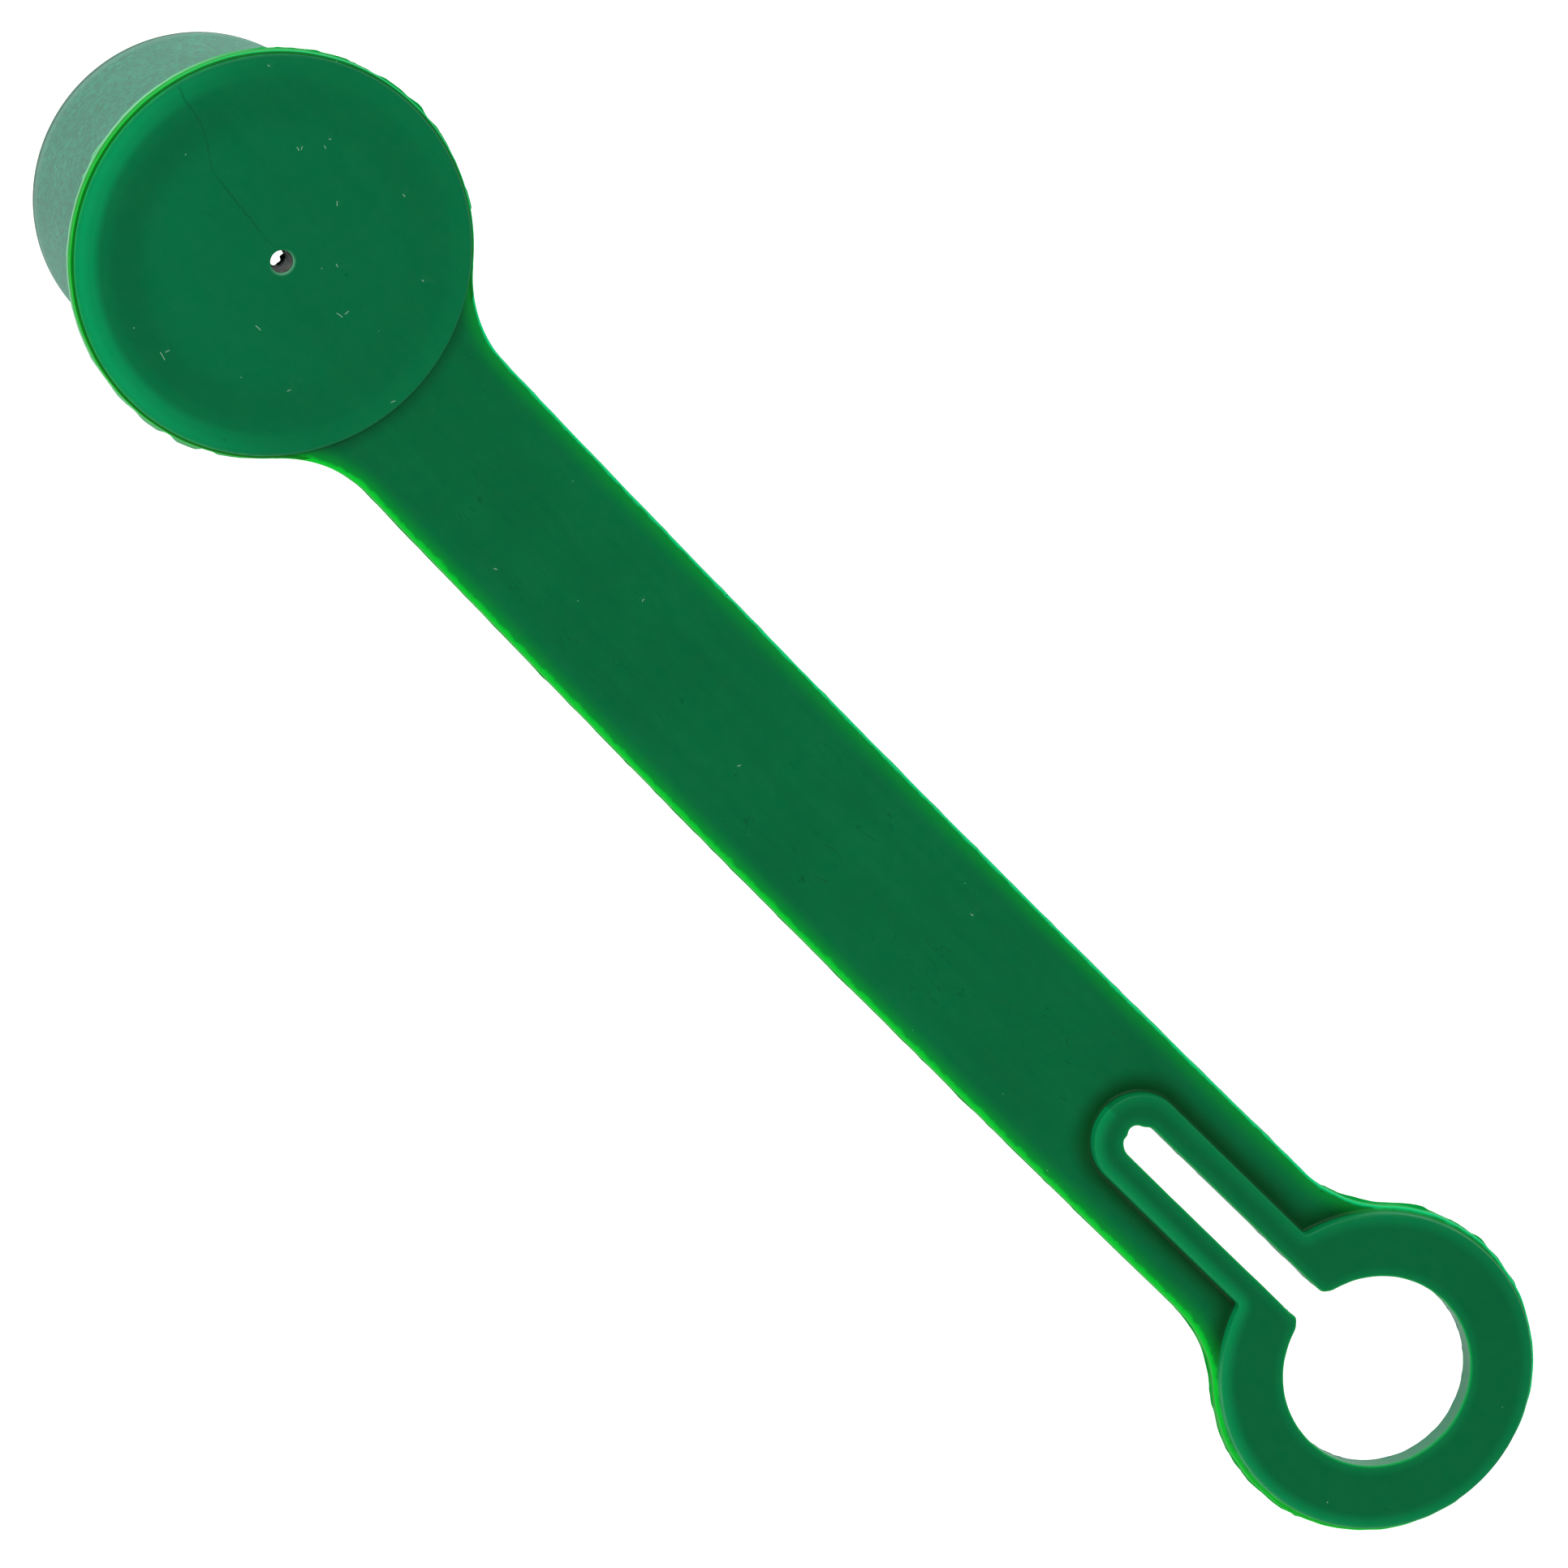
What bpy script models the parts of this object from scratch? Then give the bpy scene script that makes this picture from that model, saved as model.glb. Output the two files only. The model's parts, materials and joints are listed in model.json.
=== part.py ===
# Tethered protective cap: a deep round cap, a flat flexible strap and a keyhole
# ring, moulded as one piece of green polyethylene.  Metres, +Z up.
#
# Frame: the cap's mouth rests on z = 0 with its axis parallel to Z, the strap
# runs along +X and the origin is under the middle of the whole moulding.  The
# moulding is cut across the strap at eight hinge lines, so that the stretches
# between them can swing about Y as the real strap bends.
import bpy
import bmesh
from math import pi, cos, sin, atan2, hypot, radians

MM = 0.001

# ---------------------------------------------------------------- dimensions
# Distances along X are measured from the cap's axis, which stands at CAP_X.
CAP_HEIGHT = 32.2 * MM          # mouth to the top of the boss
BOSS_RADIUS = 17.7 * MM         # raised disc that closes the cap
BOSS_STEP = 0.4 * MM            # boss above the strap's top face
FLANGE_RADIUS = 18.0 * MM       # plate under the boss, same plate as the strap
PLATE_THICK = 1.4 * MM          # strap and flange
SKIRT_R_MOUTH = 14.45 * MM
SKIRT_R_ROOT = 14.9 * MM        # about one degree of draft
BORE_RADIUS = 11.5 * MM
END_WALL = 3.9 * MM             # thickness of the closed end
VENT_RADIUS = 1.0 * MM
VENT_AT = (0.9 * MM, 0.15 * MM)

STRAP_WIDTH = 16.5 * MM
FLARE_RADIUS = 11.4 * MM        # concave flares at both ends of the strap
NECK_X = 21.9 * MM              # where the cap's flare becomes the straight strap
RING_X = 144.55 * MM            # centre of the ring
RING_OUTER = 14.75 * MM
RING_HOLE = 8.6 * MM
RING_FLARE_X = 127.3 * MM
RIM_OUTER = 14.35 * MM          # raised rim round the ring
RIM_HALF = 4.3 * MM             # raised rim round the slot, half width
RIM_END_X = 113.6 * MM          # centre of the rim's round end
RIM_STEP = 1.2 * MM             # rim above the strap's top face
SLOT_HALF = 1.6 * MM
SLOT_END_X = 114.4 * MM

HINGE_FIRST = 26.0 * MM
HINGE_PITCH = 11.6 * MM
HINGE_COUNT = 8
GAP = 0.36 * MM                 # clearance at each hinge line
EDGE = 0.25 * MM                # rounding of the plate's edges

PLATE_TOP = CAP_HEIGHT - BOSS_STEP
PLATE_MID = PLATE_TOP - PLATE_THICK / 2
CAP_X = (FLANGE_RADIUS - RING_X - RING_OUTER) / 2
HINGES = [HINGE_FIRST + i * HINGE_PITCH for i in range(HINGE_COUNT)]

# ------------------------------------------------------------------- scene
for old in list(bpy.data.objects):
    bpy.data.objects.remove(old, do_unlink=True)

parts = bpy.data.collections.new("tethered_cap")
bpy.context.scene.collection.children.link(parts)
tools = bpy.data.collections.new("cutters")
bpy.context.scene.collection.children.link(tools)
tools.hide_render = True


def material(name, rgb, rough):
    m = bpy.data.materials.new(name)
    m.use_nodes = True
    b = m.node_tree.nodes["Principled BSDF"]
    b.inputs["Base Color"].default_value = (*rgb, 1.0)
    b.inputs["Roughness"].default_value = rough
    b.inputs["Metallic"].default_value = 0.0
    m.diffuse_color = (*rgb, 1.0)
    return m


CAP_GREEN = (0.000, 0.141, 0.045)
STRAP_GREEN = (0.000, 0.127, 0.037)
RING_GREEN = (0.000, 0.134, 0.040)


def link(obj, coll):
    for c in list(obj.users_collection):
        c.objects.unlink(obj)
    coll.objects.link(obj)


def arc(cx, cy, r, a0, a1, n):
    """Points on an arc from a0 to a1 (degrees), both ends included."""
    out = []
    for i in range(n + 1):
        a = radians(a0 + (a1 - a0) * i / n)
        out.append((cx + r * cos(a), cy + r * sin(a)))
    return out


def flat(name, outline, z_mid, thick, edge, coll):
    """A flat plate cut to a closed outline, as a filled 2D curve made solid."""
    cu = bpy.data.curves.new(name, "CURVE")
    cu.dimensions = "2D"
    cu.fill_mode = "BOTH"
    cu.extrude = thick / 2 - edge
    cu.bevel_depth = edge
    cu.bevel_resolution = 1 if edge else 0
    cu.offset = -edge
    sp = cu.splines.new("POLY")
    sp.points.add(len(outline) - 1)
    for p, (x, y) in zip(sp.points, outline):
        p.co = (x, y, 0.0, 1.0)
    sp.use_cyclic_u = True
    tmp = bpy.data.objects.new(name + "_curve", cu)
    coll.objects.link(tmp)
    bpy.context.view_layer.update()
    me = bpy.data.meshes.new_from_object(tmp)
    bpy.data.objects.remove(tmp, do_unlink=True)
    bpy.data.curves.remove(cu)
    me.name = name
    bm = bmesh.new()
    bm.from_mesh(me)
    bmesh.ops.remove_doubles(bm, verts=bm.verts[:], dist=0.00001)
    bmesh.ops.dissolve_degenerate(bm, edges=bm.edges[:], dist=0.00001)
    bmesh.ops.recalc_face_normals(bm, faces=bm.faces[:])
    bmesh.ops.translate(bm, verts=bm.verts[:], vec=(0.0, 0.0, z_mid))
    bm.to_mesh(me)
    bm.free()
    me.materials.clear()
    obj = bpy.data.objects.new(name, me)
    coll.objects.link(obj)
    obj.location = (CAP_X, 0.0, 0.0)
    return obj


def turned(name, profile, steps, coll, centre=(0.0, 0.0)):
    """A turned shape: a profile at +X, read from top to bottom outside."""
    me = bpy.data.meshes.new(name)
    bm = bmesh.new()
    vs = [bm.verts.new((r, 0.0, z)) for r, z in profile]
    for a, b in zip(vs, vs[1:]):
        bm.edges.new((a, b))
    if profile[0][0] > 1e-6:
        bm.edges.new((vs[-1], vs[0]))
    bm.to_mesh(me)
    bm.free()
    obj = bpy.data.objects.new(name, me)
    coll.objects.link(obj)
    obj.location = (CAP_X + centre[0], centre[1], 0.0)
    s = obj.modifiers.new("turn", "SCREW")
    s.axis = "Z"
    s.angle = 2 * pi
    s.steps = steps
    s.render_steps = steps
    s.use_merge_vertices = True
    s.merge_threshold = 0.00001
    s.use_normal_calculate = False
    return obj


def boolean(obj, operand, how):
    m = obj.modifiers.new(how.lower(), "BOOLEAN")
    m.operation = how
    m.solver = "EXACT"
    m.object = operand
    operand.display_type = "WIRE"
    operand.hide_render = True
    return m


def hinge_frame(obj, x):
    """Put a piece's origin on its hinge line without moving its solid."""
    bm = bmesh.new()
    bm.from_mesh(obj.data)
    bmesh.ops.translate(bm, verts=bm.verts[:], vec=(-x, 0.0, -PLATE_MID))
    bm.to_mesh(obj.data)
    bm.free()
    obj.location = (CAP_X + x, 0.0, PLATE_MID)


# --------------------------------------------------------------------- cap
# The skirt, its closed end and the boss are one turned body.  The profile goes
# down the outside, round the mouth and up the bore.
skirt = [
    (0.0, CAP_HEIGHT),
    (BOSS_RADIUS - 0.35 * MM, CAP_HEIGHT),
    (BOSS_RADIUS - 0.10 * MM, CAP_HEIGHT - 0.10 * MM),
    (BOSS_RADIUS, CAP_HEIGHT - 0.30 * MM),
    (BOSS_RADIUS, PLATE_MID),
    (SKIRT_R_ROOT + 1.3 * MM, PLATE_MID),
    (SKIRT_R_ROOT + 0.9 * MM, PLATE_TOP - PLATE_THICK - 0.05 * MM),
    (SKIRT_R_ROOT + 0.3 * MM, PLATE_TOP - PLATE_THICK - 0.35 * MM),
    (SKIRT_R_ROOT, PLATE_TOP - PLATE_THICK - 0.95 * MM),
    (SKIRT_R_MOUTH + 0.01 * MM, 0.55 * MM),
    (SKIRT_R_MOUTH - 0.12 * MM, 0.16 * MM),
    (SKIRT_R_MOUTH - 0.50 * MM, 0.0),
    (BORE_RADIUS + 0.60 * MM, 0.0),
    (BORE_RADIUS + 0.10 * MM, 0.9 * MM),
    (BORE_RADIUS, 1.6 * MM),
    (BORE_RADIUS - 0.10 * MM, CAP_HEIGHT - END_WALL - 1.0 * MM),
    (BORE_RADIUS - 0.35 * MM, CAP_HEIGHT - END_WALL - 0.30 * MM),
    (BORE_RADIUS - 1.1 * MM, CAP_HEIGHT - END_WALL),
    (0.0, CAP_HEIGHT - END_WALL),
]
cap = turned("cap", skirt, 96, parts)

# The flange is the same plate as the strap: a round outline with a neck that
# flares into the strap and stops at the first hinge line.
half = STRAP_WIDTH / 2
fy = half + FLARE_RADIUS
touch = atan2(fy, NECK_X)
end_x = HINGES[0] - GAP / 2
outline = [(end_x, half), (NECK_X, half)]
# The flare is a concave arc whose centre stands off the strap's edge, from the
# straight strap round to the flange's own circle.
a_end = 180.0 + touch * 180 / pi
outline += arc(NECK_X, fy, FLARE_RADIUS, 270.0, a_end, 10)[1:]
outline += arc(0.0, 0.0, FLANGE_RADIUS, touch * 180 / pi, 360.0 - touch * 180 / pi, 84)[1:]
outline += arc(NECK_X, -fy, FLARE_RADIUS, 180.0 - touch * 180 / pi, 90.0, 10)[1:]
outline += [(end_x, -half)]
flange = flat("flange_plate", outline, PLATE_MID, PLATE_THICK, EDGE, tools)
boolean(cap, flange, "UNION")

vent = turned("vent_cutter", [
    (0.0, CAP_HEIGHT + 2 * MM),
    (VENT_RADIUS, CAP_HEIGHT + 2 * MM),
    (VENT_RADIUS, CAP_HEIGHT - END_WALL - 2 * MM),
    (0.0, CAP_HEIGHT - END_WALL - 2 * MM),
], 24, tools, VENT_AT)
boolean(cap, vent, "DIFFERENCE")
cap.data.materials.append(material("cap_green", CAP_GREEN, 0.38))

# ------------------------------------------------------------------- strap
strap_mat = material("strap_green", STRAP_GREEN, 0.42)
for i in range(HINGE_COUNT - 1):
    x0 = HINGES[i] + GAP / 2
    x1 = HINGES[i + 1] - GAP / 2
    box = [(x0, -half), (x1, -half), (x1, half), (x0, half)]
    piece = flat("strap_%d" % (i + 1), box, PLATE_MID, PLATE_THICK, EDGE, parts)
    hinge_frame(piece, HINGES[i])
    piece.data.materials.append(strap_mat)

# -------------------------------------------------------------------- ring
ry = half + FLARE_RADIUS
ring_touch = atan2(ry, RING_X - RING_FLARE_X)
deg = ring_touch * 180 / pi
start_x = HINGES[-1] + GAP / 2
outline = [(start_x, -half), (RING_FLARE_X, -half)]
outline += arc(RING_FLARE_X, -ry, FLARE_RADIUS, 90.0, deg, 10)[1:]
outline += arc(RING_X, 0.0, RING_OUTER, 180.0 + deg, 540.0 - deg, 84)[1:]
outline += arc(RING_FLARE_X, ry, FLARE_RADIUS, 360.0 - deg, 270.0, 10)[1:]
outline += [(start_x, half)]
ring = flat("keyhole_ring", outline, PLATE_MID, PLATE_THICK, EDGE, parts)
hinge_frame(ring, HINGES[-1])

# Raised rim: a round collar joined to a long round-ended tab over the slot.
rim_top = PLATE_TOP + RIM_STEP
rim_mid = (rim_top + PLATE_MID) / 2
meet = atan2(RIM_HALF, (RIM_OUTER ** 2 - RIM_HALF ** 2) ** 0.5) * 180 / pi
outline = arc(RIM_END_X, 0.0, RIM_HALF, 90.0, 270.0, 18)
outline += arc(RING_X, 0.0, RIM_OUTER, 180.0 + meet, 540.0 - meet, 84)
rim = flat("rim_plate", outline, rim_mid, rim_top - PLATE_MID, EDGE, tools)
boolean(ring, rim, "UNION")

# Keyhole: the round hole with the slot running out of it.
open_a = atan2(SLOT_HALF, (RING_HOLE ** 2 - SLOT_HALF ** 2) ** 0.5) * 180 / pi
outline = arc(SLOT_END_X, 0.0, SLOT_HALF, 90.0, 270.0, 10)
outline += arc(RING_X, 0.0, RING_HOLE, 180.0 + open_a, 540.0 - open_a, 56)
keyhole = flat("keyhole_cutter", outline, PLATE_MID, 12 * MM, 0.0, tools)
boolean(ring, keyhole, "DIFFERENCE")
ring.data.materials.append(material("ring_green", RING_GREEN, 0.40))
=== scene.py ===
import json
import math

import bmesh
import bpy
import numpy as np
from mathutils import Matrix, Vector
from mathutils.geometry import delaunay_2d_cdt


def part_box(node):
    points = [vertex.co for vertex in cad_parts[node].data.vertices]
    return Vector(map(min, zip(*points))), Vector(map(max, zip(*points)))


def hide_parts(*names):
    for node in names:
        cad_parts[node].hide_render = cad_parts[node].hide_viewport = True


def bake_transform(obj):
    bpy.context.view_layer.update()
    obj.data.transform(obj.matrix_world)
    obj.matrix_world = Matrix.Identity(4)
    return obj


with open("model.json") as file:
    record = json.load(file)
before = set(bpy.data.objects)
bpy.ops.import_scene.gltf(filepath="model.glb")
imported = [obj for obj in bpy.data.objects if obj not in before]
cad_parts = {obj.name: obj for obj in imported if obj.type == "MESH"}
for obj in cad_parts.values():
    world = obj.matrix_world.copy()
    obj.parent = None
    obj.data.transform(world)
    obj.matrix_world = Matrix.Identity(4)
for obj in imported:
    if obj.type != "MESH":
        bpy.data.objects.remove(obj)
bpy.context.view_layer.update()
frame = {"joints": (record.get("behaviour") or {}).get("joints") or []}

MM = 0.001
rng = np.random.default_rng(20)

# ----------------------------------------------------------------- sizes (mm)
# Everything below is in millimetres with the cap's axis at x = 0.
cap_lo, cap_hi = [np.array(c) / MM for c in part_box("cap")]
mid_lo, mid_hi = [np.array(c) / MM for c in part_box("strap_4")]
ring_lo, ring_hi = [np.array(c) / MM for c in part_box("keyhole_ring")]
FLANGE_R = (cap_hi[1] - cap_lo[1]) / 2
CAP_X = cap_lo[0] + FLANGE_R                 # where the cap's axis stands
TOP = mid_hi[2]                              # the strap's upper face
BOTTOM = mid_lo[2]
BOSS_H = cap_hi[2] - TOP
RIM_H = ring_hi[2] - TOP
HALF = (mid_hi[1] - mid_lo[1]) / 2
BOSS_R = FLANGE_R - 0.26
FLARE = 11.4
NECK_X = 21.9
RING_R = (ring_hi[1] - ring_lo[1]) / 2
RING_X = ring_hi[0] - CAP_X - RING_R
FLARE_X = RING_X - 17.25
HOLE_R = 8.6
RIM_R = RING_R - 0.40
RIM_HALF = 4.3
RIM_END = 113.6
SLOT_HALF = 1.6
SLOT_END = 113.65
VENT = (0.9, 0.15)
VENT_R = 1.0
HINGES = sorted(j["pos_m"][0] / MM - CAP_X for j in frame["joints"])
PITCH = (HINGES[-1] - HINGES[0]) / (len(HINGES) - 1)
SEAMS = [h + PITCH / 2 for h in HINGES[:-1]]
STEP = PITCH / 16


# ------------------------------------------------------------- plan outlines
def arc(cx, cy, r, a0, a1, n):
    t = np.radians(np.linspace(a0, a1, n + 1))
    return np.c_[cx + r * np.cos(t), cy + r * np.sin(t)]


def circle(cx, cy, r, n, turn=0.0):
    t = np.arange(n) * 2 * np.pi / n + turn
    return np.c_[cx + r * np.cos(t), cy + r * np.sin(t)]


def normals(P):
    """Unit normals on the right-hand side of a closed outline's direction."""
    d = np.roll(P, -1, 0) - P
    d /= np.linalg.norm(d, axis=1)[:, None]
    n = np.c_[d[:, 1], -d[:, 0]]
    m = n + np.roll(n, 1, 0)
    m /= np.maximum(np.linalg.norm(m, axis=1), 1e-9)[:, None]
    k = 1 / np.maximum((m * n).sum(1), 0.5)
    return m * k[:, None]


def smooth_noise(n, cells, seed):
    """Closed band of value noise: n samples over the given number of cells."""
    g = np.random.default_rng(seed)
    v = g.uniform(-1, 1, cells)
    t = np.arange(n) * cells / n
    i = np.floor(t).astype(int)
    f = t - i
    f = f * f * (3 - 2 * f)
    return v[i % cells] * (1 - f) + v[(i + 1) % cells] * f


fy = HALF + FLARE
touch = math.degrees(math.atan2(fy, NECK_X))
rtouch = math.degrees(math.atan2(fy, RING_X - FLARE_X))
stations = HINGES[0] + STEP * np.arange(-5, 139)
fine = HINGES[0] + STEP / 2 * np.arange(-10, 277)
low_edge = np.c_[fine, np.full(len(fine), -HALF)]

outer = np.vstack([
    low_edge,
    arc(FLARE_X, -fy, FLARE, 90.0, rtouch, 26),
    arc(RING_X, 0, RING_R, 180.0 + rtouch, 540.0 - rtouch, 330)[1:-1],
    arc(FLARE_X, fy, FLARE, 360.0 - rtouch, 270.0, 26),
    low_edge[::-1] * [1, -1],
    arc(NECK_X, fy, FLARE, 270.0, 180.0 + touch, 26),
    arc(0, 0, FLANGE_R, touch, 360.0 - touch, 430)[1:-1],
    arc(NECK_X, -fy, FLARE, 180.0 - touch, 90.0, 26),
])
n_out = len(outer)
out_n = normals(outer)                       # points away from the material
plan_angle = np.degrees(np.arctan2(outer[:, 1], outer[:, 0]))
on_flange = (np.hypot(outer[:, 0], outer[:, 1]) < FLANGE_R + 0.5)
on_ring = outer[:, 0] > FLARE_X
# The outline wanders a little, as a trimmed moulding's does.
wander = (0.020 * smooth_noise(n_out, 70, 1) + 0.022 * smooth_noise(n_out, 210, 2)
          + np.where(on_ring, 0.035 * smooth_noise(n_out, 90, 3)
                     + 0.030 * smooth_noise(n_out, 260, 4), 0.0))
wander = np.where(on_flange, wander * 0.45, np.where(on_ring, wander, wander * 0.35))
outer = outer + out_n * wander[:, None]


def bump_at(angle, width, height):
    d = (plan_angle - angle + 180) % 360 - 180
    return height * np.exp(-(d / width) ** 2) * on_flange


# Mould flash: a paper-thin ragged fin along the parting line.
ring_angle = np.degrees(np.arctan2(outer[:, 1], outer[:, 0] - RING_X))
flash = 0.045 + 0.035 * smooth_noise(n_out, 150, 5) + 0.040 * np.maximum(0, smooth_noise(n_out, 420, 6))
flash = np.where(on_flange | on_ring, flash, 0.055 + flash * 0.35)
lumps = np.clip(0.55 + 0.9 * smooth_noise(n_out, 230, 7), 0, 1.3)
teeth = np.maximum(0, smooth_noise(n_out, 420, 14)) ** 1.5
flash += lumps * (bump_at(-62, 24, 0.28) + np.where(on_flange & (plan_angle > 57) & (plan_angle < 113), 0.20, 0)
                  + np.where(on_ring & (ring_angle > 66) & (ring_angle < 150), 0.13, 0)
                  + np.where(on_ring & (ring_angle < -60), 0.09, 0))
flash += teeth * (bump_at(-157, 9, 0.26) + bump_at(112, 4, 0.25) + 0.05)
# The gate was clipped off flat at the ring's far end, and left a burr each side.
gate = on_ring & (np.abs(ring_angle) < 13.0)
flash = np.where(gate, 0.015, flash)
flash += np.where(on_ring, 0.22 * np.exp(-((ring_angle + 14.5) / 1.4) ** 2)
                  + 0.12 * np.exp(-((ring_angle - 14.5) / 1.8) ** 2), 0)
flash = np.clip(flash, 0.01, 0.36)
chord = RING_X + RING_R * math.cos(math.radians(13.0))
outer[:, 0] = np.where(gate, np.minimum(outer[:, 0], chord + 0.04 * np.abs(smooth_noise(n_out, 300, 15))), outer[:, 0])

# Keyhole: the round hole and its slot, with small rounds where they meet.
RHO = 1.3
kx = RING_X - math.sqrt((HOLE_R + RHO) ** 2 - (SLOT_HALF + RHO) ** 2)
ka = math.degrees(math.atan2(SLOT_HALF + RHO, kx - RING_X))       # from the ring's centre
slot_x = np.linspace(SLOT_END, kx, 48)[1:-1]
keyhole = np.vstack([
    arc(SLOT_END, 0, SLOT_HALF, 90, 270, 22),
    np.c_[slot_x, np.full(len(slot_x), -SLOT_HALF)],
    arc(kx, -(SLOT_HALF + RHO), RHO, 90, 180 - ka, 8),
    arc(RING_X, 0, HOLE_R, -ka, ka, 210)[1:-1],
    arc(kx, SLOT_HALF + RHO, RHO, ka - 180, -90, 8),
    np.c_[slot_x[::-1], np.full(len(slot_x), SLOT_HALF)],
])
key_n = normals(keyhole)                     # away from the hole, into the plastic
n_key = len(keyhole)
at_end = np.exp(-((keyhole[:, 0] - SLOT_END + 1.2) / 1.3) ** 2)
at_corner = np.exp(-((keyhole[:, 0] - kx) / 0.9) ** 2)
end_angle = np.degrees(np.arctan2(keyhole[:, 1], keyhole[:, 0] - SLOT_END)) % 360
is_end = keyhole[:, 0] < SLOT_END + 0.6
# The slot's blind end is squarer on one side, where the mould's blade is worn.
square = np.where(is_end, 0.24 * np.exp(-((end_angle - 124) / 23) ** 2)
                  + 0.20 * np.exp(-((end_angle - 197) / 14) ** 2), 0)
keyhole = keyhole - key_n * (0.018 * smooth_noise(n_key, 80, 8) + 0.05 * at_end * smooth_noise(n_key, 60, 9)
                             + 0.13 * at_corner * smooth_noise(n_key, 96, 16) + square)[:, None]
key_flash = (0.02 + 0.05 * np.maximum(0, smooth_noise(n_key, 160, 10))
             + 0.05 * at_end * np.maximum(0, smooth_noise(n_key, 120, 11)))

# Raised rim round the ring and the slot, with tiny rounds in its two corners.
RF = 0.45
rx = RING_X - math.sqrt((RIM_R + RF) ** 2 - (RIM_HALF + RF) ** 2)
ra = math.degrees(math.atan2(RIM_HALF + RF, rx - RING_X))
side_x = np.linspace(RIM_END, rx, 36)[1:-1]
rim = np.vstack([
    arc(RIM_END, 0, RIM_HALF, 90, 270, 44),
    np.c_[side_x, np.full(len(side_x), -RIM_HALF)],
    arc(rx, -(RIM_HALF + RF), RF, 90, 180 - ra, 6),
    arc(RING_X, 0, RIM_R, -ra, ra, 260)[1:-1],
    arc(rx, RIM_HALF + RF, RF, ra - 180, -90, 6),
    np.c_[side_x[::-1], np.full(len(side_x), RIM_HALF)],
])
rim_n = normals(rim)                         # out of the rim

# Weld line: where two flows met behind the vent's pin, up to the disc's edge.
weld = np.array([(-0.9, 0.6), (-1.8, 0.5), (-3.6, 0.7), (-6.3, 0.9), (-8.2, 1.1), (-9.3, 1.2), (-10.8, 2.1),
                 (-12.2, 2.9), (-13.5, 3.4), (-14.8, 3.6), (-15.7, 3.7), (-16.7, 4.1)])


def spline(P, n):
    """Catmull-Rom through P, n points a span."""
    Q = np.vstack([2 * P[0] - P[1], P, 2 * P[-1] - P[-2]])
    out = []
    for a, b, c, d in zip(Q, Q[1:], Q[2:], Q[3:]):
        for t in np.arange(n) / n:
            out.append(0.5 * (2 * b + (c - a) * t + (2 * a - 5 * b + 4 * c - d) * t * t
                              + (3 * b - a - 3 * c + d) * t ** 3))
    out.append(P[-1])
    return np.array(out)


weld = spline(weld, 9)
weld[:, 1] += 0.05 * np.sin(np.arange(len(weld)) * 1.7) + 0.03 * np.sin(np.arange(len(weld)) * 4.1)
wd = np.gradient(weld, axis=0)
wd /= np.linalg.norm(wd, axis=1)[:, None]
weld_side = np.c_[-wd[:, 1], wd[:, 0]]

# Short scratches on the disc and strap: (x, y, angle, length).
scratches = [(3.7, -5.3, 4, 0.60), (-5.4, 7.9, -7, 0.34), (-5.2, 8.2, 124, 0.30), (-3.8, 9.7, -17, 0.26),
             (0.6, 7.1, -44, 0.40), (4.3, 11.8, 0, 0.30), (4.6, 3.4, -13, 0.30), (8.0, 0.6, 11, 0.62),
             (8.3, 1.2, 90, 0.40), (-0.5, -13.0, -12, 0.80), (-0.5, -12.4, 73, 0.40), (17.0, -1.2, 71, 0.4),
             (9.7, -7.1, 67, 0.30), (11.0, 7.9, 0, 0.2), (-12.6, 11.0, 11, 0.2), (-4.0, 10.5, 44, 0.2)]
strap_marks = [(34.5, -4.8, 35, 0.3), (46.0, 2.6, 100, 0.25), (63.0, -1.5, 60, 0.3), (88.0, 3.8, 20, 0.25)]


# --------------------------------------------------------- distance functions
def to_line(P, L, closed=True):
    """Distance from points P to a polyline."""
    A = L if closed else L[:-1]
    B = np.roll(L, -1, 0) if closed else L[1:]
    D = B - A
    q = np.maximum((D * D).sum(1), 1e-12)
    out = np.empty(len(P))
    for i in range(0, len(P), 1500):
        V = P[i:i + 1500, None, :] - A[None]
        t = np.clip((V * D).sum(2) / q, 0, 1)
        out[i:i + 1500] = np.sqrt(((V - t[..., None] * D) ** 2).sum(2).min(1))
    return out


def inside(P, L):
    """Even-odd test of points P against a closed polyline."""
    A, B = L, np.roll(L, -1, 0)
    out = np.zeros(len(P), bool)
    for i in range(0, len(P), 3000):
        x, y = P[i:i + 3000, 0][:, None], P[i:i + 3000, 1][:, None]
        c = (A[:, 1] > y) != (B[:, 1] > y)
        with np.errstate(divide="ignore", invalid="ignore"):
            xs = A[:, 0] + (y - A[:, 1]) * (B[:, 0] - A[:, 0]) / (B[:, 1] - A[:, 1])
        out[i:i + 3000] = ((c & (x < xs)).sum(1) % 2).astype(bool)
    return out


EDGE_R = 0.16


def round_off(d, r=EDGE_R):
    d = np.clip(d, 0, r)
    return r - np.sqrt(np.maximum(r * r - (r - d) ** 2, 0))


def boss_height(d):
    return BOSS_H * np.interp(d, [-0.12, 0.0, 0.04, 0.08, 0.14, 0.24], [0, 0.05, 0.55, 0.80, 0.94, 1.0])


def rim_height(d):
    return RIM_H * np.interp(d, [-0.28, -0.10, 0.0, 0.05, 0.09, 0.16, 0.30],
                             [0, 0.025, 0.13, 0.80, 0.91, 0.975, 1.0])


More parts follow.
